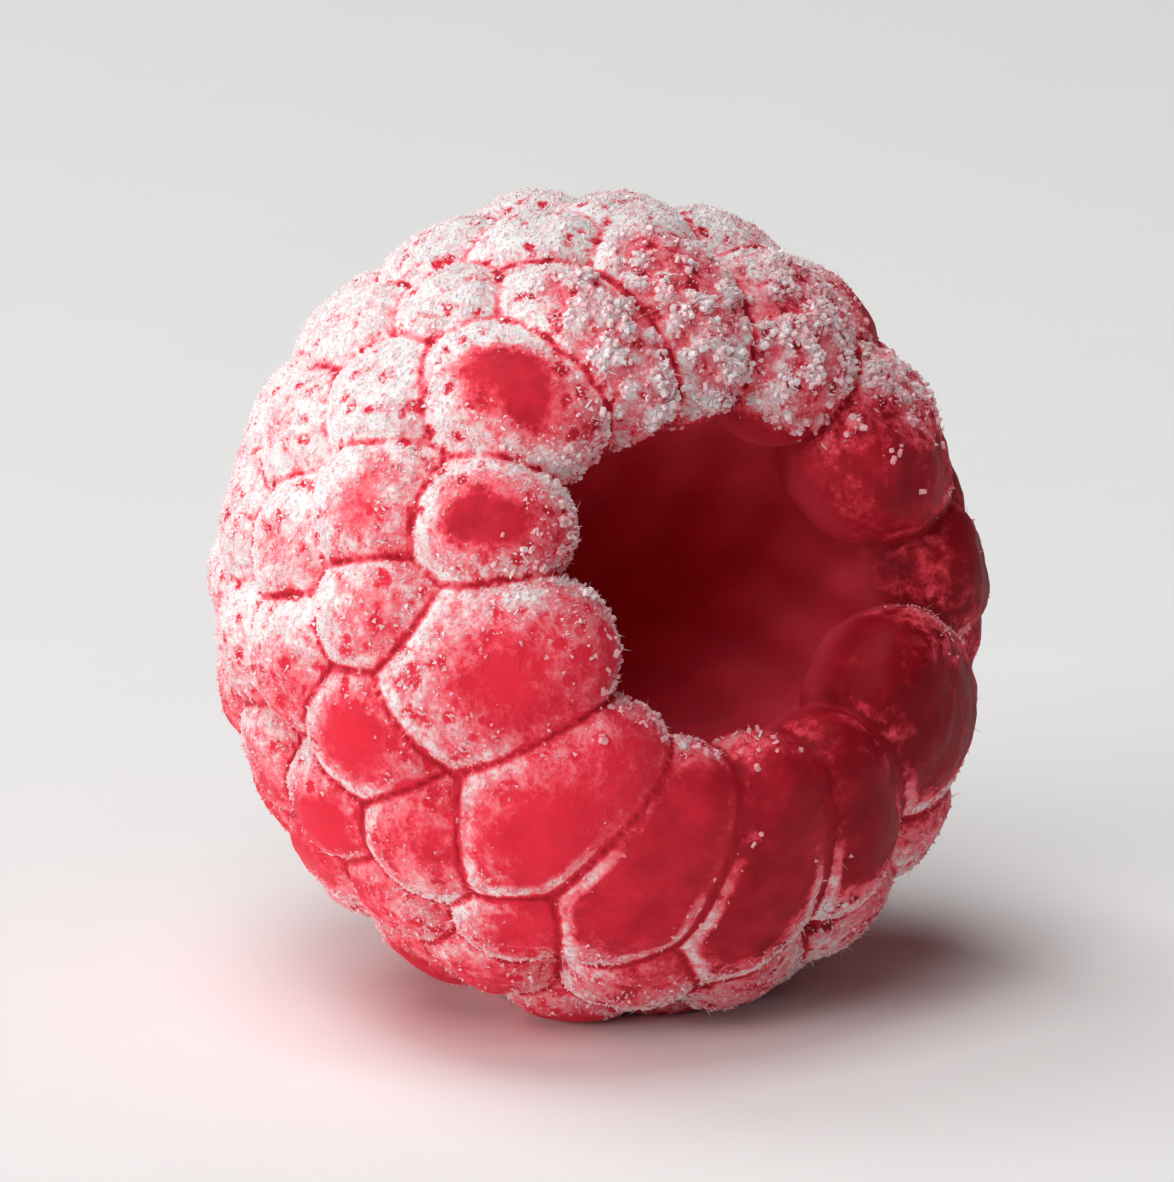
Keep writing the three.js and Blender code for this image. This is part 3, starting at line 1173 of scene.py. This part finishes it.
@dataclass(frozen=True)
class FrostedFlesh(Finish):
    """Crimson skin that shows through hoarfrost, bright frost on the drupelets' borders, painted shade in the
    creases and a painted glow in the hollow.
    """

    name: str = "frosted_flesh"
    # deep and bright are mixed by how light the flesh is, which is partly painted light and shade.
    deep: tuple[float, float, float] = (0.24, 0.004, 0.010)
    bright: tuple[float, float, float] = (0.82, 0.028, 0.06)
    # A darker red for the creases: painted shade.
    crease_shade_red: tuple[float, float, float] = (0.42, 0.008, 0.018)
    # A lighter red for the hollow: a painted glow of light through the flesh.
    hollow_glow_red: tuple[float, float, float] = (0.80, 0.06, 0.10)
    coarse_size: float = 0.9 * MM
    fine_size: float = 0.3 * MM
    dust_size: float = 0.11 * MM
    pore_size: float = 0.58 * MM
    relief_height: float = 0.16 * MM
    frost_stops: tuple[tuple[float, tuple[float, float, float]], ...] = (
        (0.0, (0.78, 0.03, 0.06)),
        (0.3, (0.92, 0.085, 0.125)),
        (0.55, (0.93, 0.25, 0.29)),
        (0.78, (0.94, 0.62, 0.63)),
        (1.0, (0.95, 0.87, 0.86)),
    )

    def paint(self, tree: Tree) -> bpy.types.Node:
        """Adds the material's nodes.

        Args:
            tree: The tree they are added to.

        Returns:
            The shader's node.
        """
        crease = self.mark(tree, "crease")
        # The frost mark is thicker on the lit side, so its pale film there is partly painted light.
        frost = self.mark(tree, "frost")
        hollow = self.mark(tree, "hollow")
        tone = self.mark(tree, "tone")
        coarse = self.speckle(tree, self.coarse_size, 3)
        fine = self.speckle(tree, self.fine_size, 3)
        dust = self.speckle(tree, self.dust_size, 2)
        pores = self.pores(tree, self.pore_size)

        # Flesh is deep red or bright, by its drupelet and in patches, and lighter towards the lamps on the
        # left:
        # partly painted light and shade. It is darker in the creases, a painted shade.
        flesh = (tone + (coarse - 0.5) * 0.9).ease(-0.15, 1.15).mix(self.deep, self.bright)
        flesh = crease.ease(0.0, 0.13).mix(self.crease_shade_red, flesh)
        # The hollow is a lighter red: a painted glow of light through the flesh.
        flesh = hollow.mix(flesh, self.hollow_glow_red)

        # The film of frost is ragged, with a pale line along the creases. Gaps thin it, and next to the
        # creases it is thinned and pinker, a painted shade. Where it doesn't fill a crease it stops there.
        hem = 0.12 + self.mark(tree, "hem") * 0.88
        border = crease.ease(*LINE_RISES) * (1 - crease.ease(*LINE_FADES)) * hem
        line = border * (fine * 0.8 + coarse * 0.8 - 0.15) * (0.95 - frost * 0.8)
        speckle = ((fine - 0.5) * 1.4 + (dust - 0.5) * 0.7 + (coarse - 0.5) * 1.2) * (frost * 0.8 + 0.3)
        filled = (frost * 0.5 + (coarse - 0.5) * 1.3).ease(0.0, 1.0)
        # Pores are real gaps in the frost; the thinning next to the creases is painted shade.
        gaps_and_crease_shade = (pores * 0.75 + (1 - crease.ease(0.0, 0.7)) * 0.2) * frost
        amount = (frost + speckle - gaps_and_crease_shade + line) * (1 - hollow)
        amount = amount * (filled + (1 - filled) * crease.ease(0.02, 0.15))
        ramp = tree.add("ShaderNodeValToRGB", {"stops": self.frost_stops}, {"Fac": amount})
        rime = tree.value(ramp.outputs[0])
        cover = amount.ease(0.03, 0.4)
        colour = cover.mix(flesh, rime)

        # Frost has a fine grain with gaps, and flesh only slow waves.
        relief = fine * 0.5 * cover + dust * 0.35 * cover + coarse * 0.3 - pores * 0.4 * cover
        bumps = {"Strength": 0.6, "Distance": self.relief_height, "Height": relief}
        bump = tree.add("ShaderNodeBump", inputs=bumps)
        constants = {
            "Subsurface Weight": 0.6,
            "Subsurface Radius": (1.0, 0.15, 0.13),
            "Subsurface Scale": 1.6 * MM,
            "IOR": 1.36,
            "Specular IOR Level": 0.14,
        }
        varying = {
            "Base Color": colour,
            "Roughness": 0.52 + 0.3 * cover,
            "Normal": bump.outputs["Normal"],
        }
        return tree.add("ShaderNodeBsdfPrincipled", inputs={**constants, **varying})

    def pores(self, tree: Tree, size: float) -> Value:
        """Small gaps in the frost.

        Args:
            tree: The tree they are added to.
            size: About how far apart they are.

        Returns:
            1 in the gaps and 0 between them.
        """
        places = tree.add("ShaderNodeTexCoord").outputs["Object"]
        inputs = {"Vector": places, "Scale": 2.5 / size, "Detail": 2.0}
        uneven = tree.add("ShaderNodeTexNoise", inputs=inputs)
        shift = {0: uneven.outputs["Color"], 1: (size * 0.7,) * 3, 2: places}
        shifted = tree.add("ShaderNodeVectorMath", {"operation": "MULTIPLY_ADD"}, shift).outputs[0]
        inputs = {"Vector": shifted, "Scale": 1 / size, "Randomness": 1.0}
        distance = tree.value(tree.add("ShaderNodeTexVoronoi", {"feature": "F1"}, inputs).outputs["Distance"])
        return 1 - distance.ease(0.14, 0.4)


@dataclass(frozen=True)
class IceFinish(Finish):
    """Ice that takes some of its colour from the fruit below it, and is whiter where frost lies thickly."""

    name: str = "ice_crystals"
    pink: tuple[float, float, float] = (0.94, 0.38, 0.43)
    white: tuple[float, float, float] = (0.99, 0.84, 0.845)

    def paint(self, tree: Tree) -> bpy.types.Node:
        """Adds the material's nodes.

        Args:
            tree: The tree they are added to.

        Returns:
            The shader's node.
        """
        tint = self.mark(tree, "tint")
        # Whiter where the frost mark is thick, which is laid thicker on the lit side: partly painted light.
        whiteness = (tint * 0.5 + self.mark(tree, "frost") * 0.8).ease(0.35, 1.15)
        constants = {"Subsurface Weight": 0.3, "Subsurface Scale": 0.3 * MM, "IOR": 1.31}
        varying = {"Base Color": whiteness.mix(self.pink, self.white), "Roughness": 0.18 + tint * 0.3}
        return tree.add("ShaderNodeBsdfPrincipled", inputs={**constants, **varying})


@dataclass(frozen=True)
class FloorFinish(Finish):
    """Plain pale paper."""

    name: str = "pale_floor"
    colour: tuple[float, float, float] = (0.97, 0.965, 0.96)

    def paint(self, tree: Tree) -> bpy.types.Node:
        """Adds the material's nodes.

        Args:
            tree: The tree they are added to.

        Returns:
            The shader's node.
        """
        grain = self.speckle(tree, 6 * MM, 4)
        darker = tuple(0.97 * part for part in self.colour)
        inputs = {"Base Color": grain.mix(darker, self.colour), "Roughness": 0.85}
        return tree.add("ShaderNodeBsdfPrincipled", inputs=inputs)


# ---- The frost ----


class Crystal(Enum):
    """The forms that a frost crystal takes, each as its number of sides and the width of its top."""

    GRAIN = (3, 0.0)
    NEEDLE = (5, 0.0)
    BLOCK = (6, 0.36)


@dataclass(frozen=True)
class Frost:
    """Crystals strewn on the flesh where a mark of the mesh is high, by a rule with a fixed seed.

    The density is per square metre where the mark is 1. The tilt is in degrees, and the sink is the share of
    a crystal's height that lies below the skin it grows on, taken from its middle.
    """

    name: str
    crystal: Crystal
    mark: str
    seed: int
    density: float
    width: tuple[float, float]
    height: tuple[float, float]
    tilt: float
    sink: float = 0.25

    def make(self, flesh: bpy.types.Object, material: bpy.types.Material) -> bpy.types.Object:
        """Grows the crystals.

        Args:
            flesh: What they grow on.
            material: Their finish.

        Returns:
            A plain mesh object at the origin.
        """
        carrier = in_scene(self.name + "_carrier", flesh.data)
        group, sockets = self.tree(material)
        modifier = carrier.modifiers.new(self.name, "NODES")
        modifier.node_group = group
        for label, value in self.sizes().items():
            modifier[sockets[label]] = value
        graph = bpy.context.evaluated_depsgraph_get()
        mesh = bpy.data.meshes.new_from_object(carrier.evaluated_get(graph), depsgraph=graph)
        mesh.name = self.name
        bpy.data.objects.remove(carrier)
        return in_scene(self.name, mesh)

    def sizes(self) -> dict[str, float | int]:
        """The sizes that the tree takes.

        Returns:
            The values of its named inputs.
        """
        return {
            "Density": self.density,
            "Narrowest": self.width[0],
            "Widest": self.width[1],
            "Lowest": self.height[0],
            "Highest": self.height[1],
            "Tilt": math.radians(self.tilt),
            "Seed": self.seed,
        }

    def tree(self, material: bpy.types.Material) -> tuple[bpy.types.NodeTree, dict[str, str]]:
        """Builds the node tree.

        Args:
            material: The crystals' finish.

        Returns:
            The tree, and the identifiers of its inputs by name.
        """
        group = bpy.data.node_groups.new(self.name, "GeometryNodeTree")
        face = group.interface
        face.new_socket("Geometry", in_out="INPUT", socket_type="NodeSocketGeometry")
        kinds = {int: "NodeSocketInt", float: "NodeSocketFloat"}
        sockets = {
            label: face.new_socket(label, in_out="INPUT", socket_type=kinds[type(value)]).identifier
            for label, value in self.sizes().items()
        }
        face.new_socket("Geometry", in_out="OUTPUT", socket_type="NodeSocketGeometry")
        tree = Tree(group)
        given = tree.add("NodeGroupInput").outputs
        mark = tree.add("GeometryNodeInputNamedAttribute", {"data_type": "FLOAT"}, {"Name": self.mark})
        product = {0: mark.outputs[0], 1: given["Density"]}
        dense = tree.add("ShaderNodeMath", {"operation": "MULTIPLY"}, product)
        strewn = tree.add(
            "GeometryNodeDistributePointsOnFaces",
            {"distribute_method": "RANDOM"},
            {"Mesh": given["Geometry"], "Density": dense.outputs[0], "Seed": given["Seed"]},
        )
        lean = tree.add(
            "FunctionNodeRandomValue",
            {"data_type": "FLOAT_VECTOR"},
            {0: (-1.0, -1.0, -math.pi), 1: (1.0, 1.0, math.pi), "Seed": self.seed + 1},
        )
        tilt = tree.add("ShaderNodeCombineXYZ", inputs={0: given["Tilt"], 1: given["Tilt"], 2: 1.0})
        leaning = tree.add(
            "ShaderNodeVectorMath", {"operation": "MULTIPLY"}, {0: lean.outputs[0], 1: tilt.outputs[0]}
        )
        turn = tree.add("FunctionNodeEulerToRotation", inputs={0: leaning.outputs[0]})
        turned = tree.add(
            "FunctionNodeRotateRotation",
            {"rotation_space": "LOCAL"},
            {0: strewn.outputs["Rotation"], 1: turn.outputs[0]},
        )
        wide = self.between(tree, given["Narrowest"], given["Widest"], self.seed + 2)
        high = self.between(tree, given["Lowest"], given["Highest"], self.seed + 3)
        scale = tree.add("ShaderNodeCombineXYZ", inputs={0: wide, 1: wide, 2: high})
        placed = tree.add(
            "GeometryNodeInstanceOnPoints",
            inputs={
                "Points": strewn.outputs["Points"],
                "Instance": self.one(tree),
                "Rotation": turned.outputs[0],
                "Scale": scale.outputs[0],
            },
        )
        tint = self.between(tree, 0.0, 1.0, self.seed + 4)
        marked = tree.add(
            "GeometryNodeStoreNamedAttribute",
            {"data_type": "FLOAT", "domain": "INSTANCE"},
            {"Geometry": placed.outputs[0], "Name": "tint", "Value": tint},
        )
        real = tree.add("GeometryNodeRealizeInstances", inputs={"Geometry": marked.outputs[0]})
        finish = {"Geometry": real.outputs[0], "Material": material}
        dressed = tree.add("GeometryNodeSetMaterial", inputs=finish)
        tree.add("NodeGroupOutput", inputs={"Geometry": dressed.outputs[0]})
        return group, sockets

    def between(self, tree: Tree, low: Link, high: Link, seed: int) -> bpy.types.NodeSocket:
        """A random number for each crystal between two limits."""
        inputs = {2: low, 3: high, "Seed": seed}
        return tree.add("FunctionNodeRandomValue", {"data_type": "FLOAT"}, inputs).outputs[1]

    def one(self, tree: Tree) -> bpy.types.NodeSocket:
        """One crystal, one unit high and one unit across, sunk a little into what it grows on.

        Args:
            tree: The tree it is added to.

        Returns:
            Its geometry.
        """
        sides, top = self.crystal.value
        inputs = {"Vertices": sides, "Radius Top": top, "Radius Bottom": 0.5, "Depth": 1.0}
        cone = tree.add("GeometryNodeMeshCone", {"fill_type": "NGON"}, inputs)
        moved = {"Geometry": cone.outputs[0], "Translation": (0.0, 0.0, -self.sink)}
        return tree.add("GeometryNodeTransform", inputs=moved).outputs[0]


FROSTS = (
    Frost(
        "frost_dust", Crystal.GRAIN, "dust", seed=11, density=75e6,
        width=(0.05 * MM, 0.11 * MM), height=(0.04 * MM, 0.09 * MM), tilt=40,
    ),
    Frost(
        "frost_grains", Crystal.GRAIN, "dust", seed=23, density=22e6,
        width=(0.1 * MM, 0.2 * MM), height=(0.08 * MM, 0.17 * MM), tilt=50,
    ),
    Frost(
        "frost_blocks", Crystal.BLOCK, "crystals", seed=37, density=30e6,
        width=(0.08 * MM, 0.22 * MM), height=(0.08 * MM, 0.2 * MM), tilt=70,
    ),
    Frost(
        "frost_needles", Crystal.NEEDLE, "crystals", seed=53, density=14e6,
        width=(0.05 * MM, 0.09 * MM), height=(0.15 * MM, 0.34 * MM), tilt=60,
    ),
    Frost(
        "frozen_hairs", Crystal.NEEDLE, "dust", seed=71, density=4e6,
        width=(0.02 * MM, 0.035 * MM), height=(0.25 * MM, 0.5 * MM), tilt=60,
    ),
)


# ---- The studio ----


@dataclass(frozen=True)
class Lamp:
    """A soft square lamp: where it stands round the fruit, in degrees, and its share of the key's power."""

    name: str
    azimuth: float
    elevation: float
    share: float


@dataclass(frozen=True)
class Studio:
    """The floor, the lights and the camera."""

    azimuth: float = -35
    elevation: float = 15
    lens: float = 400
    sensor: float = 36
    fill: float = 0.68
    floor_size: float = 3.0
    key_power: float = 1.4
    lamp_distance: float = 0.5
    lamp_size: float = 0.25
    lamps: tuple[Lamp, ...] = (
        Lamp("key", -90, 10, 1),
        Lamp("fill", -50, 50, 0.45),
        Lamp("top", -90, 80, 0.65),
        Lamp("back", -160, 55, 0.55),
    )
    world: float = 0.03
    surround: tuple[float, float, float] = (1.0, 0.98, 0.97)

    def floor(self) -> None:
        """A wide pale floor under the fruit."""
        half = self.floor_size / 2
        mesh = bpy.data.meshes.new("floor")
        corners = [(-half, -half, 0), (half, -half, 0), (half, half, 0), (-half, half, 0)]
        mesh.from_pydata(corners, [], [(0, 1, 2, 3)])
        floor = in_scene("floor", mesh)
        mesh.materials.append(FloorFinish().make())

    def direction(self, azimuth: float, elevation: float) -> Vector:
        """The direction from the fruit towards a place round it. Azimuth 0 is in front of the mouth."""
        a, e = math.radians(azimuth), math.radians(elevation)
        return Vector((math.sin(a) * math.cos(e), -math.cos(a) * math.cos(e), math.sin(e)))

    def aim(self, thing: bpy.types.Object, target: Vector) -> None:
        """Turns a lamp or a camera towards a point."""
        thing.rotation_euler = (target - thing.location).to_track_quat("-Z", "Y").to_euler()

    def camera(self, target: Vector, height: float) -> None:
        """Sets up the camera at its angle, with the fruit filling part of the frame.

        Args:
            target: The fruit's middle.
            height: The fruit's height.
        """
        camera = bpy.data.cameras.new("camera")
        camera.lens = self.lens
        camera.sensor_width = self.sensor
        camera.clip_start = 0.01
        thing = in_scene("camera", camera)
        far = height / self.fill * self.lens / self.sensor
        thing.location = target + self.direction(self.azimuth, self.elevation) * far
        self.aim(thing, target)
        bpy.context.scene.camera = thing

    def hang(self, lamp: Lamp, target: Vector) -> None:
        """Hangs one lamp so that it looks at the fruit.

        Args:
            lamp: The lamp.
            target: The fruit's middle.
        """
        light = bpy.data.lights.new(lamp.name, "AREA")
        light.energy = self.key_power * lamp.share
        light.size = self.lamp_size
        thing = in_scene(lamp.name, light)
        thing.location = target + self.direction(lamp.azimuth, lamp.elevation) * self.lamp_distance
        self.aim(thing, target)

    def light(self, target: Vector) -> None:
        """Sets up a low key on the left, a weak fill, lamps overhead and behind, and a pale surround.

        Args:
            target: The fruit's middle.
        """
        for lamp in self.lamps:
            self.hang(lamp, target)
        world = bpy.data.worlds.new("surround")
        bpy.context.scene.world = world
        world.use_nodes = True
        tree = Tree(world.node_tree)
        pale = {"Color": self.surround, "Strength": self.world}
        shade = tree.add("ShaderNodeBackground", inputs=pale)
        tree.add("ShaderNodeOutputWorld", inputs={"Surface": shade.outputs[0]})
        bpy.context.scene.view_settings.view_transform = "Standard"

    def make(self) -> None:
        """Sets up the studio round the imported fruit."""
        low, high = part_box(NODE)
        target = (low + high) / 2
        self.floor()
        self.camera(target, high.z - low.z)
        self.light(target)


@dataclass
class Raspberry:
    """The whole fruit: its flesh, and the frost on it."""

    shape: FruitShape = FruitShape()
    lie: Lie = Lie()
    hollow: HollowShape = HollowShape()
    frosts: tuple[Frost, ...] = FROSTS

    def make(self) -> None:
        """Builds every piece and gives it its finish and its body."""
        drupelets = Packing(self.shape).grow()
        log.info("%d drupelets", len(drupelets))
        flesh = Flesh(FleshField(self.shape, self.hollow, self.lie, drupelets)).make()
        flesh.data.materials.append(FrostedFlesh().make())
        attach(flesh, BODY)
        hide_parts(NODE)
        report(flesh)
        ice = IceFinish().make()
        for frost in self.frosts:
            piece = frost.make(flesh, ice)
            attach(piece, BODY)
            report(piece)


def report(piece: bpy.types.Object) -> None:
    """Logs a piece's name and how many triangles it has."""
    piece.data.calc_loop_triangles()
    log.info("%s: %d triangles", piece.name, len(piece.data.loop_triangles))


def main() -> None:
    """Builds the studio and the fruit."""
    logging.basicConfig(level=logging.INFO, format="%(message)s")
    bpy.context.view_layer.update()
    Studio().make()
    Raspberry().make()


if __name__ == "__main__":
    main()
